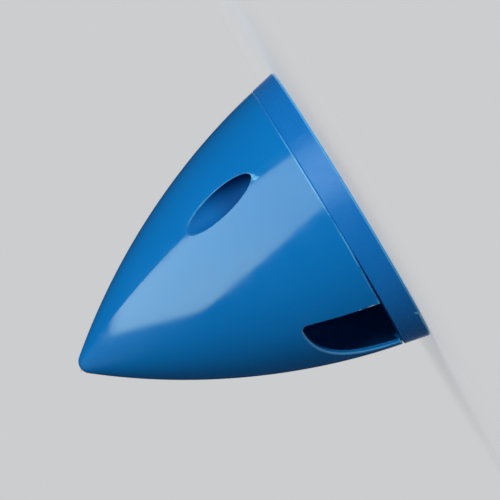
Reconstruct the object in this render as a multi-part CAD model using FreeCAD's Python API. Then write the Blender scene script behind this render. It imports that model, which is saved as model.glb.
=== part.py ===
import FreeCAD, Part
import math
import os

# Propeller spinner, nose up. The origin is the middle of the rear rim and +Z runs along the spin axis
# towards the nose. The screws lie on X and the propeller blades pass out along Y. Millimetres.

# Outer line, shared by the backplate's band and the cone
rear_radius = 38.0
band_height = 6.6
band_taper_deg = 12.3
overall_length = 78.8
nose_radius = 3.0
skin_pieces = 8

# Nose cone
shell_wall = 1.2
inner_nose_radius = 4.5
inside_tapers = 6
skirt_lift = 0.6
skirt_lift_width = 10.5

# Cut-out for a blade, as seen from outside: straight on one side and curved on the other
cutout_straight_side = 9.8
cutout_curved_side = 12.2
cutout_height = 19.8
cutout_corner_radius = 2.0
cutout_arc_radius = 19.5
curved_side_rounding = 0.5
skin_edge_chamfer = 0.15

# Screw wells, which run down from the skin of the cone to the posts of the backplate
well_inset = 6.5
well_radius = 3.6
well_tube_wall = 1.3
well_floor_thickness = 2.4

# Screws
screw_length = 8.0
screw_shank_radius = 1.5
screw_core_radius = 1.2
screw_point_length = 1.2
screw_head_radius = 2.8
screw_head_height = 2.0
screw_head_slope = 0.8
cross_width = 0.7
cross_span = 3.2
cross_depth = 1.1

# Backplate
rim_wall = 2.0
rear_edge_chamfer = 0.35
band_edge_chamfer = 0.15
web_thickness = 2.2
root_chamfer = 0.6
ring_height = 1.0
ring_wall = 1.4
hub_radius = 12.5
hub_proud = 1.0
hub_recess = 0.8
hub_edge_chamfer = 0.4
shaft_bore_radius = 4.0
rib_count = 6
rib_thickness = 1.4
rib_recess = 1.2
post_radius = 4.2
post_height = 3.0
boss_radius = 3.2

# Clearances
ring_clearance = 0.15
ring_end_clearance = 8.0
screw_clearance = 0.2
pilot_clearance = 0.05

# How the edges of the skin are picked out
least_corner_deg = 20
touching = 0.01

# Places worked out from the sizes above
taper = math.radians(band_taper_deg)
seam_radius = rear_radius - band_height * math.tan(taper)
well_axis_radius = seam_radius - well_inset
well_bottom_height = band_height + post_height
well_floor_height = well_bottom_height + well_floor_thickness
tube_radius = well_radius + well_tube_wall
web_rear_height = band_height - web_thickness
hub_front_height = band_height + hub_proud
web_edge_radius = seam_radius - rim_wall / 2
far_out = 2 * rear_radius

up = FreeCAD.Vector(0, 0, 1)
origin = FreeCAD.Vector(0, 0, 0)


def point(x, z):
    return FreeCAD.Vector(x, 0, z)


def on_circle(centre, radius, angle):
    return centre + point(math.cos(angle), math.sin(angle)) * radius


def angle_of(direction):
    return math.atan2(direction.z, direction.x)


def arc(centre, radius, start_angle, end_angle):
    """Arc in the XZ plane between two angles in radians."""
    angles = (start_angle, (start_angle + end_angle) / 2, end_angle)
    return Part.Arc(*(on_circle(centre, radius, angle) for angle in angles)).toShape()


def turned(edges):
    """A closed profile in the XZ plane, turned about the spin axis."""
    return Part.Face(Part.Wire(edges)).revolve(origin, up, 360)


def chamfered_outline(corners):
    """Closed outline through corners (x, z, chamfer), where a chamfer is the length cut off along both sides."""
    places = [point(x, z) for x, z, _ in corners]
    ends = []
    for number, (_, _, chamfer) in enumerate(corners):
        corner = places[number]
        before = (places[number - 1] - corner).normalize()
        after = (places[(number + 1) % len(corners)] - corner).normalize()
        ends.append(corner + before * chamfer)
        if chamfer > 0:
            ends.append(corner + after * chamfer)
    return Part.makePolygon(ends + ends[:1]).Edges


def cylinder(radius, low, high, x=0.0):
    return Part.makeCylinder(radius, high - low, point(x, low), up)


def half_turn(shape):
    """The shape and its copy on the other side of the spin axis."""
    other = shape.copy()
    other.rotate(origin, up, 180)
    return [shape, other]


def outer_arc():
    """Centre and radius of the outer line, an arc that leaves the seam along the taper and meets the nose ball."""
    normal = point(math.cos(taper), math.sin(taper))
    seam = point(seam_radius, band_height)
    chord = seam - point(0, overall_length - nose_radius)
    radius = (chord.dot(chord) - nose_radius ** 2) / (2 * (chord.dot(normal) - nose_radius))
    return seam - normal * radius, radius


def ogive_body(inset, cap_radius, pieces, straight=False):
    """Solid from the seam up whose side is the outer line moved inwards by inset, with a ball at its tip.

    The side is drawn in equal pieces, which are arcs or, on an inside, straight tapers.
    """
    centre, radius = outer_arc()
    radius -= inset
    ball = point(0, centre.z + math.sqrt((radius - cap_radius) ** 2 - centre.x ** 2))
    ball_angle = angle_of(ball - centre)
    angle = math.asin((band_height - centre.z) / radius)
    step = (ball_angle - angle) / pieces
    edges = [Part.makeLine(point(0, band_height), on_circle(centre, radius, angle))]
    for _ in range(pieces):
        side = arc(centre, radius, angle, angle + step)
        if straight:
            side = Part.makeLine(on_circle(centre, radius, angle), on_circle(centre, radius, angle + step))
        edges.append(side)
        angle += step
    edges.append(arc(ball, cap_radius, ball_angle, math.pi / 2))
    edges.append(Part.makeLine(ball + point(0, cap_radius), point(0, band_height)))
    return turned(edges)


def inside_body(inset):
    return ogive_body(inset, inner_nose_radius, inside_tapers, straight=True)


# Nose cone


def cutouts(growth=0.0):
    """Both prop cut-outs, each running from the spin axis out past the skin, with all sides moved out by growth.

    Seen along the blade, the outline has a straight side, a tight corner, and one large arc down to the other side.
    """
    corner_radius = cutout_corner_radius + growth
    arc_radius = cutout_arc_radius + growth
    right = cutout_straight_side + growth
    left = -cutout_curved_side - growth
    corner = point(right - corner_radius, band_height + cutout_height + growth - corner_radius)
    centre_x = left + arc_radius
    drop = math.sqrt((arc_radius - corner_radius) ** 2 - (centre_x - corner.x) ** 2)
    centre = point(centre_x, corner.z - drop)
    meeting_angle = angle_of(corner - centre)
    outline = Part.Wire([
        Part.makeLine(point(right, -band_height), point(right, corner.z)),
        arc(corner, corner_radius, 0, meeting_angle),
        arc(centre, arc_radius, meeting_angle, math.pi),
        Part.makeLine(point(left, centre.z), point(left, -band_height)),
        Part.makeLine(point(left, -band_height), point(right, -band_height)),
    ])
    return half_turn(Part.Face(outline).extrude(FreeCAD.Vector(0, -far_out, 0)))


def skirt_relief():
    """Thin wedges under the skirt beside the cut-outs, where the moulding has warped off its seat."""
    start = skirt_lift_width - seam_radius
    slope = skirt_lift / skirt_lift_width
    corners = [(start, 0), (-far_out, 0), (-far_out, slope * (far_out + start)), (start, 0)]
    side = Part.makePolygon([FreeCAD.Vector(-far_out, y, band_height + lift) for y, lift in corners])
    return half_turn(Part.Face(side).extrude(FreeCAD.Vector(2 * far_out, 0, 0)))


def middle_of(edge):
    return edge.valueAt((edge.FirstParameter + edge.LastParameter) / 2)


def is_corner(edge, solid):
    """Whether the two faces beside an edge meet at a clear angle."""
    faces = solid.ancestorsOfType(edge, Part.Face)
    if len(faces) != 2:
        return False
    middle = middle_of(edge)
    normals = [face.normalAt(*face.Surface.parameter(middle)) for face in faces]
    return normals[0].getAngle(normals[1]) > math.radians(least_corner_deg)


def lies_on(edge, skin):
    return skin.distToShape(Part.Vertex(middle_of(edge)))[0] < touching


def skin_corners(cone, skin):
    return [edge for edge in cone.Edges if is_corner(edge, cone) and lies_on(edge, skin)]


def is_curved_side(edge):
    """Whether an edge of the skin belongs to the round part of a cut-out's outline."""
    middle = middle_of(edge)
    across = middle.x if middle.y < 0 else -middle.x
    in_well = math.hypot(abs(middle.x) - well_axis_radius, middle.y) < tube_radius
    on_skirt = middle.z < band_height + skirt_lift
    return not (in_well or on_skirt) and across < cutout_straight_side - skin_edge_chamfer


def make_cone():
    outside = ogive_body(0, nose_radius, skin_pieces)
    tube = cylinder(tube_radius, well_bottom_height, overall_length, well_axis_radius)
    well = cylinder(well_radius, well_floor_height, overall_length, well_axis_radius)
    hole = cylinder(screw_shank_radius + screw_clearance, band_height, overall_length, well_axis_radius)
    middle_of_wall = ogive_body(shell_wall / 2, nose_radius, inside_tapers, straight=True)
    cone = outside.cut(inside_body(shell_wall)).fuse(half_turn(tube.common(middle_of_wall)))
    cone = cone.cut(cutouts() + half_turn(well) + half_turn(hole) + skirt_relief()).removeSplitter()
    skin = outside.Shells[0]
    curved_side = [edge for edge in skin_corners(cone, skin) if is_curved_side(edge)]
    cone = cone.makeFillet(curved_side_rounding, curved_side)
    return cone.makeChamfer(skin_edge_chamfer, skin_corners(cone, skin))


# Backplate


def turned_plate():
    """Rim, web and hub in one section: the band's taper outside, a dish behind and the bore in the middle."""
    shift = rear_radius - seam_radius
    dish_radius = rear_radius - rim_wall - shift * web_rear_height / band_height
    return turned(chamfered_outline([
        (shaft_bore_radius, hub_recess, 0),
        (hub_radius, hub_recess, hub_edge_chamfer),
        (hub_radius, web_rear_height, root_chamfer),
        (dish_radius, web_rear_height, root_chamfer),
        (rear_radius - rim_wall, 0, 0),
        (rear_radius, 0, rear_edge_chamfer),
        (seam_radius, band_height, band_edge_chamfer),
        (hub_radius, band_height, 0),
        (hub_radius, hub_front_height, hub_edge_chamfer),
        (shaft_bore_radius, hub_front_height, 0),
    ]))


def locating_ring():
    """Ring that stands up inside the skirt, open at the cut-outs and clear of the screw wells."""
    inset = shell_wall + ring_clearance
    ring = inside_body(inset).cut(inside_body(inset + ring_wall))
    ring = ring.common(cylinder(rear_radius, band_height, band_height + ring_height))
    keep_clear = cylinder(
        tube_radius + ring_clearance, well_bottom_height - ring_clearance, overall_length, well_axis_radius)
    return ring.cut(cutouts(ring_end_clearance) + half_turn(keep_clear))


def make_rib(number):
    start = hub_radius - rib_thickness
    height = band_height - web_thickness / 2 - rib_recess
    corner = FreeCAD.Vector(start, -rib_thickness / 2, rib_recess)
    rib = Part.makeBox(web_edge_radius - start, rib_thickness, height, corner)
    rib.rotate(origin, up, number * 360 / rib_count)
    return rib


def make_backplate():
    ribs = [make_rib(number) for number in range(rib_count)]
    post = cylinder(post_radius, band_height, well_bottom_height, well_axis_radius)
    post = post.common(inside_body(shell_wall + ring_clearance))
    boss = cylinder(boss_radius, rib_recess, band_height, well_axis_radius)
    pilot = cylinder(screw_core_radius + pilot_clearance, 0, well_bottom_height, well_axis_radius)
    plate = turned_plate().fuse([locating_ring()] + ribs + half_turn(post) + half_turn(boss))
    return plate.cut(half_turn(pilot)).removeSplitter()


# Screws


def make_screw():
    """Pan-head self-tapping screw, head up, seated on the floor of the well on +X."""
    seat = well_floor_height
    tip = seat - screw_length
    head_top = seat + screw_head_height
    screw = turned(chamfered_outline([
        (0, tip, 0),
        (screw_core_radius, tip + screw_point_length, 0),
        (screw_core_radius, well_bottom_height, 0),
        (screw_shank_radius, well_bottom_height, 0),
        (screw_shank_radius, seat, 0),
        (screw_head_radius, seat, 0),
        (screw_head_radius, head_top, screw_head_slope),
        (0, head_top, 0),
    ]))
    corner = FreeCAD.Vector(-cross_span / 2, -cross_width / 2, head_top - cross_depth)
    arm = Part.makeBox(cross_span, cross_width, 2 * cross_depth, corner)
    other_arm = arm.copy()
    other_arm.rotate(origin, up, 90)
    screw = screw.cut([arm, other_arm])
    screw.translate(point(well_axis_radius, 0))
    return screw


os.makedirs("parts", exist_ok=True)

screw_right, screw_left = half_turn(make_screw())
pieces = {
    "cone": make_cone(),
    "backplate": make_backplate(),
    "cone_screw_right": screw_right,
    "cone_screw_left": screw_left,
}
for name, piece in pieces.items():
    box = piece.optimalBoundingBox(False, False)
    print(name, "solids", len(piece.Solids), "valid", piece.isValid(), "volume", round(piece.Volume, 1))
    print("  low", round(box.XMin, 3), round(box.YMin, 3), round(box.ZMin, 3), end=" ")
    print("high", round(box.XMax, 3), round(box.YMax, 3), round(box.ZMax, 3))
    piece.exportStep("parts/" + name + ".step")
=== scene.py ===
from math import cos, pi, radians, sin

import bmesh
import bpy
from mathutils import Matrix, Vector


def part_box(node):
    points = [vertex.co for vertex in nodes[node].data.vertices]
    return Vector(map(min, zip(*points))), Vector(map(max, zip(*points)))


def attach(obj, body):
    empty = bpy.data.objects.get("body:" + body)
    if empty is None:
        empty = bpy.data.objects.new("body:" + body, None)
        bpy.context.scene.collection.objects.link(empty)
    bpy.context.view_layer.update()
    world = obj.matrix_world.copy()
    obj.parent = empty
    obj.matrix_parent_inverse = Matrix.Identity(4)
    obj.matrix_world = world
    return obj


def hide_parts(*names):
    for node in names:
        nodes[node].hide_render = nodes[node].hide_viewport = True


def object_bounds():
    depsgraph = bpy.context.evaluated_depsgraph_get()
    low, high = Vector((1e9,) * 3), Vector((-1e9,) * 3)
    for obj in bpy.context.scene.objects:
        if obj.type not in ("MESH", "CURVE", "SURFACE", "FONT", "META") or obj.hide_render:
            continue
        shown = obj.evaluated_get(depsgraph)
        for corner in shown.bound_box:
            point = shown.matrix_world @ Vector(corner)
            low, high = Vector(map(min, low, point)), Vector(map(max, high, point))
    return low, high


# A glossy blue propeller spinner: pointed shell, ribbed backplate and two sunken screws.
# Nose up along +Z, metres. The view is the side of the shell, with the nose rolled to the lower left.

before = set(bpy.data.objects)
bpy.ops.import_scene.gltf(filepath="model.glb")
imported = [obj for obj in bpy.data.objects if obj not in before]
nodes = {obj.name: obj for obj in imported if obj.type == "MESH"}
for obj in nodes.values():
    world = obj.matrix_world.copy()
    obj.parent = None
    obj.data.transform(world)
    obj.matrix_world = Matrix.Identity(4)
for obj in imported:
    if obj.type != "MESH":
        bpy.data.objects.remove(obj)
cadBox = [list(corner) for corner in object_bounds()]
scene = bpy.context.scene
zAxis = Vector((0, 0, 1))
mm = 0.001
print("frame loaded")

# Helpers for objects and shader nodes


def placeObject(name, data):
    piece = bpy.data.objects.new(name, data)
    scene.collection.objects.link(piece)
    return piece


def makePiece(name, bm):
    mesh = bpy.data.meshes.new(name)
    bm.to_mesh(mesh)
    bm.free()
    return placeObject(name, mesh)


def dress(piece, material):
    piece.data.materials.clear()
    piece.data.materials.append(material)


def startMaterial(name):
    material = bpy.data.materials.new(name)
    material.use_nodes = True
    return material, material.node_tree


def plug(tree, socket, value):
    if isinstance(value, bpy.types.NodeSocket):
        tree.links.new(value, socket)
    else:
        socket.default_value = value


def addNode(tree, kind, **sockets):
    node = tree.nodes.new("ShaderNode" + kind)
    for key, value in sockets.items():
        plug(tree, node.inputs[key.replace("_", " ")], value)
    return node


def maths(tree, operation, first, second=0.0):
    node = tree.nodes.new("ShaderNodeMath")
    node.operation = operation
    plug(tree, node.inputs[0], first)
    plug(tree, node.inputs[1], second)
    return node.outputs[0]


def times(tree, first, second):
    return maths(tree, "MULTIPLY", first, second)


def larger(tree, first, second):
    return maths(tree, "MAXIMUM", first, second)


def apart(tree, first, second):
    return maths(tree, "ABSOLUTE", maths(tree, "SUBTRACT", first, second))


def vectorMaths(tree, operation, first, second=(0, 0, 0)):
    node = tree.nodes.new("ShaderNodeVectorMath")
    node.operation = operation
    plug(tree, node.inputs[0], first)
    plug(tree, node.inputs[1], second)
    return node


def lengthOf(tree, vector):
    return vectorMaths(tree, "LENGTH", vector).outputs["Value"]


def splitAxes(tree, vector):
    return addNode(tree, "SeparateXYZ", Vector=vector).outputs


def mapRange(tree, value, low, high, toLow=0.0, toHigh=1.0):
    node = addNode(tree, "MapRange", Value=value, From_Min=low, From_Max=high, To_Min=toLow, To_Max=toHigh)
    node.interpolation_type = "SMOOTHSTEP"
    return node.outputs[0]


def mixColours(tree, factor, first, second):
    node = tree.nodes.new("ShaderNodeMix")
    node.data_type = "RGBA"
    plug(tree, node.inputs[0], factor)
    plug(tree, node.inputs[6], first)
    plug(tree, node.inputs[7], second)
    return node.outputs[2]


def mixShaders(tree, factor, first, second):
    node = addNode(tree, "MixShader", Fac=factor)
    plug(tree, node.inputs[1], first.outputs[0])
    plug(tree, node.inputs[2], second.outputs[0])
    return node


def noise(tree, place, scale, detail=2.0, roughness=0.5):
    return addNode(tree, "TexNoise", Vector=place, Scale=scale, Detail=detail, Roughness=roughness).outputs[0]


def seenRay(tree):
    path = addNode(tree, "LightPath").outputs
    seen = larger(tree, path["Is Camera Ray"], path["Is Glossy Ray"])
    return larger(tree, seen, path["Is Transmission Ray"])


# Camera

camera = {
    "lens": 190,            # long lens, so that hardly any perspective shows
    "near": 0.01,
    "far": 50,
    "distance": 0.6563,     # from the spin axis
    "sideStep": 0.00317,
    "height": 0.02074,      # above the rear rim
    "turnDeg": -32.92,      # round the spin axis, from the well on +X
    "tiltDeg": 0.587,
    "rollDeg": -121.14,
}


def makeCamera(c):
    turn = radians(c["turnDeg"])
    toward = Vector((cos(turn), sin(turn), 0))
    across = zAxis.cross(toward)
    tilt = radians(c["tiltDeg"])
    look = zAxis * sin(tilt) - toward * cos(tilt)
    data = bpy.data.cameras.new("camera")
    data.lens = c["lens"]
    data.clip_start = c["near"]
    data.clip_end = c["far"]
    viewer = placeObject("camera", data)
    turned = look.to_track_quat("-Z", "Y").to_matrix().to_4x4()
    place = toward * c["distance"] + across * c["sideStep"] + zAxis * c["height"]
    viewer.matrix_world = Matrix.Translation(place) @ turned @ Matrix.Rotation(radians(c["rollDeg"]), 4, "Z")
    scene.camera = viewer
    return toward, across


toward, across = makeCamera(camera)
print("camera set")

# Light: a large soft box that the gloss mirrors, a soft key from the same side, a fill behind, and a room
# that is pale at eye level and dark above. Directions and the offset have three parts: towards the camera,
# across the shell and towards the nose.

softBox = {
    "normal": (0.166, 0.426, 0.889),
    "long": (0.751, 0.529, -0.394),
    "offset": (-0.168, -0.222, 1.037),
    "nearEdge": 0.612,
    "length": 1.10,
    "width": 1.006,
    "brightness": 4.3,
    "colour": (0.94, 1.24, 1.0, 1),
    "farShare": 0.60,       # how bright the far end is, as a share of the near end
}
lamps = {
    "key": {"from": (0.86, 0.49, 0.15), "distance": 1.2, "size": 0.6, "level": 0.95},
    "fill": {"from": (-0.92, -0.10, 0.38), "distance": 1.2, "size": 0.9, "level": 0.50},
}
room = {
    "pale": (0.60, 0.61, 0.62, 1),
    "dark": (0.014, 0.015, 0.018, 1),
    "overhead": (0.22, 0.225, 0.23, 1),
    "paleBelow": 0.0,       # sines of the height above the horizon, as gloss sees the room
    "darkAbove": 0.035,
    "darkBelow": 0.80,
    "overheadAbove": 0.96,
    "bounce": (0.17, 0.17, 0.17, 1),
}


def inRow(parts):
    return toward * parts[0] + across * parts[1] + zAxis * parts[2]


def makeSoftBox(s):
    longWay = inRow(s["long"]).normalized()
    back = inRow(s["normal"]).normalized()
    shortWay = back.cross(longWay).normalized()
    longWay = shortWay.cross(back).normalized()
    data = bpy.data.lights.new("softBox", "AREA")
    data.shape = "RECTANGLE"
    data.size = s["length"]
    data.size_y = s["width"]
    data.energy = s["brightness"] * pi * s["length"] * s["width"]
    data.use_nodes = True
    tree = data.node_tree
    tree.nodes.clear()
    along = splitAxes(tree, addNode(tree, "NewGeometry").outputs["Parametric"])[0]
    fall = mapRange(tree, along, 0, 1, 1, s["farShare"])
    glow = addNode(tree, "Emission", Color=s["colour"], Strength=fall)
    addNode(tree, "OutputLight", Surface=glow.outputs[0])
    lamp = placeObject("softBox", data)
    lamp.visible_diffuse = False
    place = inRow(s["offset"]) + longWay * (s["nearEdge"] + s["length"] / 2)
    axes = Matrix((longWay, shortWay, back)).transposed().to_4x4()
    lamp.matrix_world = Matrix.Translation(place) @ axes


def makeLamp(name, s):
    data = bpy.data.lights.new(name, "AREA")
    data.size = s["size"]
    data.energy = s["level"] * (pi * s["distance"]) ** 2       # so that a surface facing it gets that level
    lamp = placeObject(name, data)
    lamp.visible_glossy = False
    lamp.visible_camera = False
    way = inRow(s["from"]).normalized()
    aim = (-way).to_track_quat("-Z", "Y").to_matrix().to_4x4()
    lamp.matrix_world = Matrix.Translation(way * s["distance"] + zAxis * (cadBox[1][2] / 2)) @ aim


def makeRoom(r):
    world = bpy.data.worlds.new("room")
    scene.world = world
    world.use_nodes = True
    tree = world.node_tree
    tree.nodes.clear()
    height = splitAxes(tree, addNode(tree, "TexCoord").outputs["Generated"])[2]
    zenith = mapRange(tree, height, r["darkBelow"], r["overheadAbove"])
    upper = mixColours(tree, zenith, r["dark"], r["overhead"])
    glossy = addNode(tree, "LightPath").outputs["Is Glossy Ray"]
    shade = times(tree, mapRange(tree, height, r["paleBelow"], r["darkAbove"]), glossy)
    seen = addNode(tree, "Background", Color=mixColours(tree, shade, r["pale"], upper), Strength=1)
    bounce = addNode(tree, "Background", Color=r["bounce"], Strength=1)
    addNode(tree, "OutputWorld", Surface=mixShaders(tree, seenRay(tree), bounce, seen).outputs[0])


makeSoftBox(softBox)
for name, settings in lamps.items():
    makeLamp(name, settings)
makeRoom(room)
print("light set")

# Floor: a wide pale disc that fades into the room's colour

floor = {
    "radius": 6.0,
    "sides": 64,
    "drop": 0.1 * mm,
    "card": (0.70, 0.71, 0.72, 1),
    "lift": (0.255, 0.260, 0.266, 1),    # added near the part, so that the card is as pale as the room
    "bounce": (0.24, 0.235, 0.26, 1),    # what it gives back to the plastic
    "fadeFrom": 0.07,
    "fadeTo": 0.18,
}


def makeFloor(f):
    bm = bmesh.new()
    bmesh.ops.create_circle(bm, cap_ends=True, segments=f["sides"], radius=f["radius"])
    bmesh.ops.translate(bm, verts=bm.verts, vec=(0, 0, -f["drop"]))
    piece = makePiece("floor", bm)
    material, tree = startMaterial("paleFloor")
    tree.nodes.clear()
    distance = lengthOf(tree, addNode(tree, "TexCoord").outputs["Object"])
    card = addNode(tree, "BsdfDiffuse", Color=f["card"])
    lift = addNode(tree, "Emission", Color=f["lift"], Strength=1)
    near = addNode(tree, "AddShader")
    plug(tree, near.inputs[0], card.outputs[0])
    plug(tree, near.inputs[1], lift.outputs[0])
    far = addNode(tree, "Emission", Color=room["pale"], Strength=1)
    seen = mixShaders(tree, mapRange(tree, distance, f["fadeFrom"], f["fadeTo"]), near, far)
    bounce = addNode(tree, "Emission", Color=f["bounce"], Strength=1)
    addNode(tree, "OutputMaterial", Surface=mixShaders(tree, seenRay(tree), bounce, seen).outputs[0])
    dress(piece, material)


makeFloor(floor)
print("floor laid")

# Shell and backplate: blue moulded plastic. A noise is given by its scale, its detail and, where it isn't
# 0.5, its roughness. A mark or burr is a streaky place, given by its height, turn from +X in degrees,
# radius, length, width and lean from upright in degrees, with the lengths in mm.

finish = {                  # what both plastics share
    "ior": 1.5,
    "clouds": (40, 3, 0.55),
    "smears": (160, 4, 0.6),
    "smearSpread": (0.3, 0.7),
    "edgeRound": 0.15 * mm,
    "waveDepth": 0.10 * mm,
    "bump": 0.5,            # strength of the waves and the peel
    "wornBump": 0.4,        # strength of the worn grain and the scratches
    "wornDepth": 0.02 * mm,
    "wornGrain": (3000, 2),
    "wornRoughness": 0.6,
}
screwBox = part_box("cone_screw_right")
# The wells: where they are, the painted shade inside them (their colour runs from pale to dark), and their
# duller finish
wells = {
    "axis": (screwBox[0].x + screwBox[1].x) / 2,
    "radius": 3.75 * mm,
    "soft": 0.12 * mm,
    "pale": (0.0015, 0.132, 0.420, 1),
    "dark": (0.0010, 0.070, 0.262, 1),
    "darkAt": 23.5 * mm,    # the painted shade is darkest at this height, and paler above and below
    "darkFade": (0.5 * mm, 8.5 * mm),
    "roughness": 0.62,
    "specular": 0.12,
}
scuffs = {
    "depth": 2,             # how deep a mark reaches into the piece, in widths of the mark
    "stretch": (3.0, 3.0, 0.9),
    "streaks": (1.0, 3, 0.7),
    "broken": (0.27, 0.56),
    "fade": (0.40, 1.15),
}
hairline = {                # where a stretched noise crosses its middle value
    "ways": (((0.4, 0.2, 0.9), 260), ((1.3, -0.5, 0.3), 200)),      # turn in radians, and scale
    "stretch": 0.06,        # scale along a line, as a share of the scale across it
    "detail": 1,
    "middle": 0.5,
    "width": 0.006,
    "patchShare": 0.4,
    "patch": (0.55, 0.68),
    "dulls": 0.12,
}
# Sharp edges: a pale colour painted along them as a highlight, with rubbed wear there too
edgeWearAndSheen = {
    "reach": 0.30 * mm,
    "match": (0.97, 0.997),     # of the rounded normal with the true one, on an edge and away from it
    "patches": (260, 3, 0.6),
    "broken": (0.26, 0.50),
    "above": 8.5 * mm,
    "aboveSoft": 1.0 * mm,
    "strength": 0.60,
}
cutHighlight = {                 # a painted highlight along the rounded edges of the blade cut-outs, where the skin turns away from Y
    "reach": 13.4 * mm,
    "top": 28 * mm,
    "inner": 25 * mm,
    "soft": 0.5 * mm,
    "steep": (0.34, 0.56),
    "level": (0.68, 0.84),
    "strength": 0.85,
    "colour": (0.06, 0.50, 0.90, 1),
}
hemHighlight = {                     # what both painted highlight lines along the lower edges share
    "liftFrom": 26 * mm,    # this far from the XZ plane the edge starts to lift
    "patches": (180, 3, 0.6),
    "plusYFade": (1.0 * mm, 9.0 * mm),
}
skirtHemHighlight = {                # a painted highlight: a pale line just above the shell's lower edge, which lifts beside the cut-outs
    "edge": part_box("cone")[0].z,
    "slope": 0.057,
    "low": 0.32 * mm,
    "high": 0.44 * mm,
    "soft": 0.14 * mm,
    "broken": (0.30, 0.58),
    "colour": (0.16, 0.62, 0.95, 1),
    "strength": 0.52,
    "plusYShare": 0.22,     # how strong it is on the +Y half, as a share
}
rearHemHighlight = {                 # a painted highlight: a pale line along the backplate's rear edge
    "edge": 0.0,
    "slope": 0.0,
    "low": 0.0,
    "high": 0.34 * mm,
    "soft": 0.22 * mm,
    "broken": (0.10, 0.40),
    "colour": (0.08, 0.48, 0.95, 1),
    "strength": 0.90,
    "plusYShare": 1.0,
}
shellPlastic = {
    "deep": (0.0025, 0.176, 0.520, 1),
    "light": (0.0033, 0.200, 0.575, 1),
    "roughness": (0.105, 0.165),
    "specular": 0.50,
    "waves": (55, 1),
    "peel": (420, 2),
    "peelDepth": 0.004 * mm,
    "cutHighlight": cutHighlight,
    "hemHighlight": skirtHemHighlight,
    # colour of the scuffs and of the painted highlight along sharp edges
    "wearAndEdgeSheen": (0.13, 0.52, 0.84, 1),
    "marks": {
        "byWell": (18.0, -0.4, 33.6, 1.5, 0.80, -40),
        "byWellLow": (17.2, -2.6, 33.8, 1.2, 0.55, -20),
        "seamCorner": (7.6, -73.5, 36.4, 0.5, 0.30, 0),
    },
    "burr": (0.72, 0.84, 0.94, 1),
    "burrs": {
        "slotEdge": (12.1, -73.3, 35.3, 0.50, 0.45, 0),
        "slotEdgeLow": (9.3, -73.6, 36.0, 1.3, 0.50, 0),
        "skirtCorner": (7.7, -109.2, 36.3, 0.6, 0.45, 0),
    },
}
platePlastic = {
    "deep": (0.0042, 0.166, 0.525, 1),
    "light": (0.0052, 0.180, 0.565, 1),
    "roughness": (0.24, 0.30),
    "specular": 0.35,
    "waves": (80, 1),
    "peel": (520, 2),
    "peelDepth": 0.006 * mm,
    "cutHighlight": None,
    "hemHighlight": rearHemHighlight,
    # colour of the scuffs and of the painted highlight along sharp edges
    "wearAndEdgeSheen": (0.22, 0.62, 0.92, 1),
    "marks": {
        "rearEdge": (0.3, -94.0, 37.9, 3.5, 0.40, 90),
        "rearEdgeEnd": (0.6, -87.0, 37.9, 1.3, 0.60, -50),
    },
    "burr": (0.62, 0.84, 0.98, 1),
    "burrs": {
        "rearEdgeNext": (0.2, -89.8, 37.95, 1.1, 0.40, 90),
    },
}


def inWell(tree, place, w):
    x, y, _ = splitAxes(tree, place)
    fromAxis = maths(tree, "SUBTRACT", maths(tree, "ABSOLUTE", x), w["axis"])
    flat = addNode(tree, "CombineXYZ", X=fromAxis, Y=y)
    return mapRange(tree, lengthOf(tree, flat.outputs[0]), w["radius"] - w["soft"], w["radius"], 1, 0)


# Painted shade inside a well: darkest at one height, paler above and below
def paintWellShade(tree, place, w):
    paler = mapRange(tree, apart(tree, splitAxes(tree, place)[2], w["darkAt"]), *w["darkFade"])
    return mixColours(tree, paler, w["dark"], w["pale"])


def scuff(tree, place, mark, s):
    height, turnDeg, radius, length, width, leanDeg = mark
    turn = radians(turnDeg)
    centre = Vector((radius * cos(turn), radius * sin(turn), height)) * mm
    spot = addNode(tree, "Mapping")
    spot.vector_type = "TEXTURE"
    plug(tree, spot.inputs["Vector"], place)
    plug(tree, spot.inputs["Location"], centre)
    plug(tree, spot.inputs["Rotation"], (radians(leanDeg), 0, turn))
    plug(tree, spot.inputs["Scale"], (s["depth"] * width * mm, width * mm, length * mm))
    streaks = vectorMaths(tree, "MULTIPLY", spot.outputs[0], s["stretch"]).outputs[0]
    shown = mapRange(tree, noise(tree, streaks, *s["streaks"]), *s["broken"])
    return times(tree, shown, mapRange(tree, lengthOf(tree, spot.outputs[0]), *s["fade"], 1, 0))


def markedPlaces(tree, place, marks):
    total = 0.0
    for mark in marks.values():
        total = larger(tree, total, scuff(tree, place, mark, scuffs))
    return total


# Painted highlight and wear along sharp edges, where the rounded normal departs from the true one
def paintEdgeSheenAndWear(tree, place, w):
    plain = addNode(tree, "NewGeometry").outputs["Normal"]
    rounded = addNode(tree, "Bevel", Radius=w["reach"]).outputs[0]
    match = vectorMaths(tree, "DOT_PRODUCT", rounded, plain).outputs["Value"]
    edge = mapRange(tree, match, *w["match"], 1, 0)
    shown = mapRange(tree, noise(tree, place, *w["patches"]), *w["broken"])
    height = splitAxes(tree, place)[2]
    shown = times(tree, shown, mapRange(tree, height, w["above"], w["above"] + w["aboveSoft"]))
    return times(tree, times(tree, edge, shown), w["strength"])


# A painted highlight: a pale line a little above a piece's lower edge, broken by a noise
def paintHemHighlight(tree, place, h):
    _, y, z = splitAxes(tree, place)
    beyond = larger(tree, maths(tree, "SUBTRACT", maths(tree, "ABSOLUTE", y), hemHighlight["liftFrom"]), 0.0)
    edge = maths(tree, "ADD", times(tree, beyond, h["slope"]), h["edge"])
    above = maths(tree, "SUBTRACT", z, edge)
    shown = mapRange(tree, above, h["low"] - h["soft"], h["low"])
    for limit in (mapRange(tree, above, h["high"], h["high"] + h["soft"], 1, 0),
                  mapRange(tree, noise(tree, place, *hemHighlight["patches"]), *h["broken"]),
                  mapRange(tree, y, *hemHighlight["plusYFade"], 1, h["plusYShare"])):
        shown = times(tree, shown, limit)
    return times(tree, shown, h["strength"])


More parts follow.
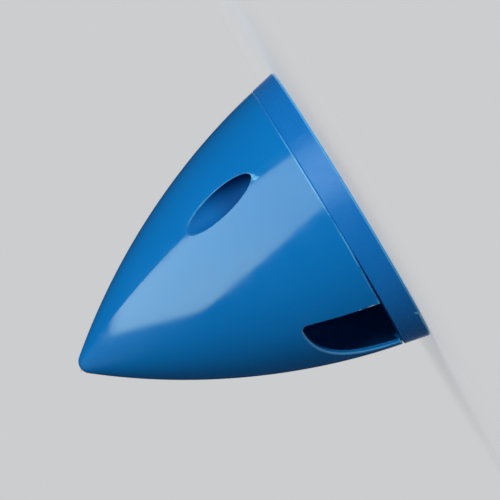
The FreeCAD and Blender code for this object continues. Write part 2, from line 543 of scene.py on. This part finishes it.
# A painted highlight on the rounded cut-out edges, where the normal turns between the given slopes
def paintCutHighlight(tree, place, c):
    normal = addNode(tree, "NewGeometry").outputs["Normal"]
    facing = maths(tree, "ABSOLUTE", splitAxes(tree, normal)[1])
    shown = mapRange(tree, facing, *c["steep"])
    x, y, z = splitAxes(tree, place)
    for limit in (mapRange(tree, facing, *c["level"], 1, 0),
                  mapRange(tree, maths(tree, "ABSOLUTE", x), c["reach"] - c["soft"], c["reach"], 1, 0),
                  mapRange(tree, maths(tree, "ABSOLUTE", y), c["inner"], c["inner"] + c["soft"]),
                  mapRange(tree, z, c["top"] - c["soft"], c["top"], 1, 0)):
        shown = times(tree, shown, limit)
    return times(tree, shown, c["strength"])


def hairlines(tree, place, turn, size, h):
    narrow = size * h["stretch"]
    turned = addNode(tree, "Mapping", Vector=place, Rotation=turn, Scale=(size, narrow, narrow))
    field = noise(tree, turned.outputs[0], 1.0, h["detail"])
    line = mapRange(tree, apart(tree, field, h["middle"]), 0.0, h["width"], 1, 0)
    patch = mapRange(tree, noise(tree, place, size * h["patchShare"], h["detail"]), *h["patch"])
    return times(tree, line, patch)


def plasticColour(tree, place, p, well, wearAndEdgeSheen, burrs):
    blue = mixColours(tree, noise(tree, place, *finish["clouds"]), p["deep"], p["light"])
    # painted shade inside the wells
    blue = mixColours(tree, well, blue, paintWellShade(tree, place, wells))
    # painted highlight on the rounded cut-out edges
    if p["cutHighlight"]:
        blue = mixColours(tree, paintCutHighlight(tree, place, p["cutHighlight"]), blue, p["cutHighlight"]["colour"])
    # painted highlight along the lower edge
    blue = mixColours(tree, paintHemHighlight(tree, place, p["hemHighlight"]), blue, p["hemHighlight"]["colour"])
    # scuffs, and a painted highlight along sharp edges
    blue = mixColours(tree, wearAndEdgeSheen, blue, p["wearAndEdgeSheen"])
    return mixColours(tree, burrs, blue, p["burr"])


def plasticRoughness(tree, place, p, well, wearAndEdgeSheen, scratches):
    gloss = mapRange(tree, noise(tree, place, *finish["smears"]), *finish["smearSpread"], *p["roughness"])
    gloss = maths(tree, "ADD", gloss, times(tree, scratches, hairline["dulls"]))
    dull = larger(tree, times(tree, well, wells["roughness"]), times(tree, wearAndEdgeSheen, finish["wornRoughness"]))
    return larger(tree, gloss, dull)


def plasticNormal(tree, place, p, wearAndEdgeSheen, scratches):
    rounded = addNode(tree, "Bevel", Radius=finish["edgeRound"])
    waves = addNode(tree, "Bump", Strength=finish["bump"], Distance=finish["waveDepth"],
                    Normal=rounded.outputs[0], Height=noise(tree, place, *p["waves"]))
    peel = addNode(tree, "Bump", Strength=finish["bump"], Distance=p["peelDepth"],
                   Normal=waves.outputs[0], Height=noise(tree, place, *p["peel"]))
    rubbed = times(tree, wearAndEdgeSheen, noise(tree, place, *finish["wornGrain"]))
    fine = addNode(tree, "Bump", Strength=finish["wornBump"], Distance=finish["wornDepth"],
                   Normal=peel.outputs[0], Height=maths(tree, "SUBTRACT", rubbed, scratches))
    return fine.outputs[0]


def makePlastic(name, p):
    material, tree = startMaterial(name)
    shader = tree.nodes["Principled BSDF"].inputs
    shader["IOR"].default_value = finish["ior"]
    shader["Specular IOR Level"].default_value = p["specular"]      # what stays where the link is dropped
    place = addNode(tree, "TexCoord").outputs["Object"]
    well = inWell(tree, place, wells)
    # scuffs, and sharp edges with a painted highlight and wear
    wearAndEdgeSheen = larger(tree, markedPlaces(tree, place, p["marks"]), paintEdgeSheenAndWear(tree, place, edgeWearAndSheen))
    burrs = markedPlaces(tree, place, p["burrs"])
    strokes = [hairlines(tree, place, turn, size, hairline) for turn, size in hairline["ways"]]
    scratches = larger(tree, *strokes)
    plug(tree, shader["Base Color"], plasticColour(tree, place, p, well, wearAndEdgeSheen, burrs))
    plug(tree, shader["Specular IOR Level"], mapRange(tree, well, 0, 1, p["specular"], wells["specular"]))
    wearAndEdgeSheen = larger(tree, wearAndEdgeSheen, burrs)
    plug(tree, shader["Roughness"], plasticRoughness(tree, place, p, well, wearAndEdgeSheen, scratches))
    plug(tree, shader["Normal"], plasticNormal(tree, place, p, wearAndEdgeSheen, scratches))
    return material


dress(nodes["cone"], makePlastic("shellPlastic", shellPlastic))
dress(nodes["backplate"], makePlastic("platePlastic", platePlastic))
print("plastic set")

# Flash: a torn sliver that the mould left beside the tip of the nose

flash = {
    "offAxis": 0.70 * mm,
    "sink": 0.25 * mm,
    "length": 0.75 * mm,
    "width": 0.42 * mm,
    "thickness": 0.14 * mm,
    "leanDeg": 24,
    "sides": 7,
    "endRadius": 0.12,      # of a cone that is one unit wide and high, before it is scaled
    "curl": 0.22,
    "curlRate": 5,
    "ripple": 0.08,
    "rippleRate": 23,
    "roughness": 0.5,
    "grain": 4000,
    "dull": (0.12, 0.30, 0.48, 1),
    "pale": (0.52, 0.62, 0.70, 1),
}


def makeFlash(f):
    bm = bmesh.new()
    bmesh.ops.create_cone(bm, cap_ends=True, segments=f["sides"], radius1=0.5, radius2=f["endRadius"],
                          depth=1)
    bmesh.ops.subdivide_edges(bm, edges=bm.edges, cuts=1, use_grid_fill=True)
    for vert in bm.verts:
        bend = f["curl"] * sin(f["curlRate"] * vert.co.z)
        vert.co.x += bend + f["ripple"] * sin(f["rippleRate"] * vert.co.y)
    bmesh.ops.scale(bm, verts=bm.verts, vec=(f["width"], f["thickness"], f["length"]))
    bmesh.ops.rotate(bm, verts=bm.verts, matrix=Matrix.Rotation(radians(f["leanDeg"]), 3, "Y"))
    bmesh.ops.translate(bm, verts=bm.verts, vec=(f["offAxis"], 0, f["length"] / 2 - f["sink"]))
    side = (-across).to_track_quat("X", "Z").to_matrix()
    bmesh.ops.rotate(bm, verts=bm.verts, matrix=side)
    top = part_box("cone")[1].z
    bmesh.ops.translate(bm, verts=bm.verts, vec=(0, 0, top))
    bmesh.ops.recalc_face_normals(bm, faces=bm.faces)
    piece = makePiece("nose_flash", bm)
    material, tree = startMaterial("flashPlastic")
    shader = tree.nodes["Principled BSDF"].inputs
    shader["IOR"].default_value = finish["ior"]
    shader["Roughness"].default_value = f["roughness"]
    place = addNode(tree, "TexCoord").outputs["Object"]
    plug(tree, shader["Base Color"], mixColours(tree, noise(tree, place, f["grain"]), f["dull"], f["pale"]))
    dress(piece, material)
    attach(piece, "root")


makeFlash(flash)
print("flash made")

# Screws: zinc-plated pan heads with a cross recess and a self-tapping thread

screw = {
    "sides": 48,
    "headRadius": 2.8 * mm,
    "headHeight": 2.0 * mm,
    "sideHeight": 0.9 * mm,     # upright part of the head's side
    "browSteps": 6,             # steps of the round between side and crown
    "crown": 0.25 * mm,
    "crownParts": (0.75, 0.5, 0.25, 0),
    "edge": 0.12 * mm,
    "coreRadius": 1.2 * mm,
    "pointLength": 1.2 * mm,
    "pointShare": 0.3,          # radius at the tip, as a share of the core's
    "pointFlat": 0.1 * mm,
    "threadRadius": 1.5 * mm,
    "threadSink": 0.97,         # foot of the thread, as a share of the core's radius
    "threadStart": 0.5,         # how far up the point it starts, as a share of the point
    "threadSides": 24,
    "pitch": 1.1 * mm,
    "ridgePeak": 0.20,          # height of the ridge's peak and its width, as shares of the pitch
    "ridgeWidth": 0.40,
    "runOutShare": 0.4,         # most radius at the tip, as a share of the core's, and its growth
    "runOutSlope": 0.75,
    "crossSpan": 3.2 * mm,
    "crossWidth": 0.7 * mm,
    "crossDepth": 1.1 * mm,
    "crossTaper": (0.34, 0.55, 1),
    "weld": 0.001 * mm,
    "sharpDeg": 32,
}
zinc = {
    "blotches": (500, 3),
    "cold": (0.50, 0.51, 0.55, 1),
    "warm": (0.72, 0.70, 0.62, 1),
    "smears": (1500, 4),
    "smearSpread": (0.3, 0.7),
    "roughness": (0.24, 0.44),
    "grain": (5000, 3),
    "grainBump": 0.5,
    "grainDepth": 0.01 * mm,
}


def headProfile(s, seat, top):
    outer = s["headRadius"]
    side = seat + s["sideHeight"]
    brow = top - s["crown"] - side
    points = [(outer - s["edge"], seat), (outer, seat + s["edge"]), (outer, side)]
    for step in range(1, s["browSteps"] + 1):
        angle = radians(90) * step / s["browSteps"]
        points.append((outer - brow * (1 - cos(angle)), side + brow * sin(angle)))
    flat = points[-1][0]
    points += [(flat * part, top - s["crown"] * part ** 2) for part in s["crownParts"]]
    return points


def makeScrewBody(s, tip, top):
    seat = top - s["headHeight"]
    core = s["coreRadius"]
    point = [(0, tip), (core * s["pointShare"], tip + s["pointFlat"]), (core, tip + s["pointLength"])]
    profile = point + [(core, seat)] + headProfile(s, seat, top)
    bm = bmesh.new()
    corners = [bm.verts.new((radius, 0, height)) for radius, height in profile]
    edges = [bm.edges.new(pair) for pair in zip(corners, corners[1:])]
    bmesh.ops.spin(bm, geom=corners + edges, cent=(0, 0, 0), axis=zAxis, angle=2 * pi, steps=s["sides"],
                   use_merge=True)
    bmesh.ops.remove_doubles(bm, verts=bm.verts, dist=s["weld"])
    bmesh.ops.recalc_face_normals(bm, faces=bm.faces)
    return makePiece("screwBody", bm)


def makeRecessCutter(s, top):
    bm = bmesh.new()
    for turn in (0, 90):
        arm = bmesh.ops.create_cube(bm, size=1)["verts"]
        bmesh.ops.scale(bm, verts=arm, vec=(s["crossSpan"], s["crossWidth"], 2 * s["crossDepth"]))
        deep = [vert for vert in arm if vert.co.z < 0]
        bmesh.ops.scale(bm, verts=deep, vec=s["crossTaper"])
        bmesh.ops.rotate(bm, verts=arm, matrix=Matrix.Rotation(radians(turn), 3, "Z"))
    bmesh.ops.translate(bm, verts=bm.verts, vec=(0, 0, top))
    return makePiece("recessCutter", bm)


def makeThread(s, tip, seat):
    foot = s["coreRadius"] * s["threadSink"]
    low = tip + s["pointLength"] * s["threadStart"]
    turns = int((seat - low) / s["pitch"])
    bm = bmesh.new()
    ridge = [(foot, low), (s["threadRadius"], low + s["pitch"] * s["ridgePeak"]),
             (foot, low + s["pitch"] * s["ridgeWidth"])]
    start = bm.faces.new([bm.verts.new((radius, 0, height)) for radius, height in ridge])
    bmesh.ops.spin(bm, geom=[start], cent=(0, 0, 0), axis=zAxis, angle=2 * pi * turns,
                   dvec=(0, 0, s["pitch"] / s["threadSides"]), steps=turns * s["threadSides"])
    for vert in bm.verts:       # the thread runs out over the point
        radius = vert.co.xy.length
        most = s["coreRadius"] * s["runOutShare"] + (vert.co.z - tip) * s["runOutSlope"]
        if radius > most:
            vert.co.xy *= most / radius
    bmesh.ops.recalc_face_normals(bm, faces=bm.faces)
    return makePiece("screwThread", bm)


def cutWith(piece, cutter):
    cut = piece.modifiers.new("recess", "BOOLEAN")
    cut.operation = "DIFFERENCE"
    cut.solver = "EXACT"
    cut.use_self = True
    cut.object = cutter
    bpy.context.view_layer.update()
    shown = piece.evaluated_get(bpy.context.evaluated_depsgraph_get())
    mesh = bpy.data.meshes.new_from_object(shown)
    for spare in (piece, cutter):
        bpy.data.objects.remove(spare)
    return mesh


def makeZinc(z):
    material, tree = startMaterial("zincSteel")
    shader = tree.nodes["Principled BSDF"].inputs
    shader["Metallic"].default_value = 1
    place = addNode(tree, "TexCoord").outputs["Object"]
    tint = mixColours(tree, noise(tree, place, *z["blotches"]), z["cold"], z["warm"])
    plug(tree, shader["Base Color"], tint)
    smears = noise(tree, place, *z["smears"])
    plug(tree, shader["Roughness"], mapRange(tree, smears, *z["smearSpread"], *z["roughness"]))
    grain = addNode(tree, "Bump", Strength=z["grainBump"], Distance=z["grainDepth"],
                    Height=noise(tree, place, *z["grain"]))
    plug(tree, shader["Normal"], grain.outputs[0])
    return material


def makeScrew(s, side, material):
    node = "cone_screw_" + side
    low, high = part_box(node)
    seat = high.z - s["headHeight"]
    mesh = cutWith(makeScrewBody(s, low.z, high.z), makeRecessCutter(s, high.z))
    thread = makeThread(s, low.z, seat)
    bm = bmesh.new()
    bm.from_mesh(mesh)
    bm.from_mesh(thread.data)
    bpy.data.objects.remove(thread)
    middle = (low + high) / 2
    bmesh.ops.translate(bm, verts=bm.verts, vec=(middle.x, middle.y, 0))
    piece = makePiece("screw_" + side, bm)
    piece.data.shade_smooth()
    piece.data.set_sharp_from_angle(angle=radians(s["sharpDeg"]))
    dress(piece, material)
    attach(piece, "root")
    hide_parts(node)


zincSteel = makeZinc(zinc)
for side in ("right", "left"):
    makeScrew(screw, side, zincSteel)
print("screws made")

scene.view_settings.view_transform = "Standard"
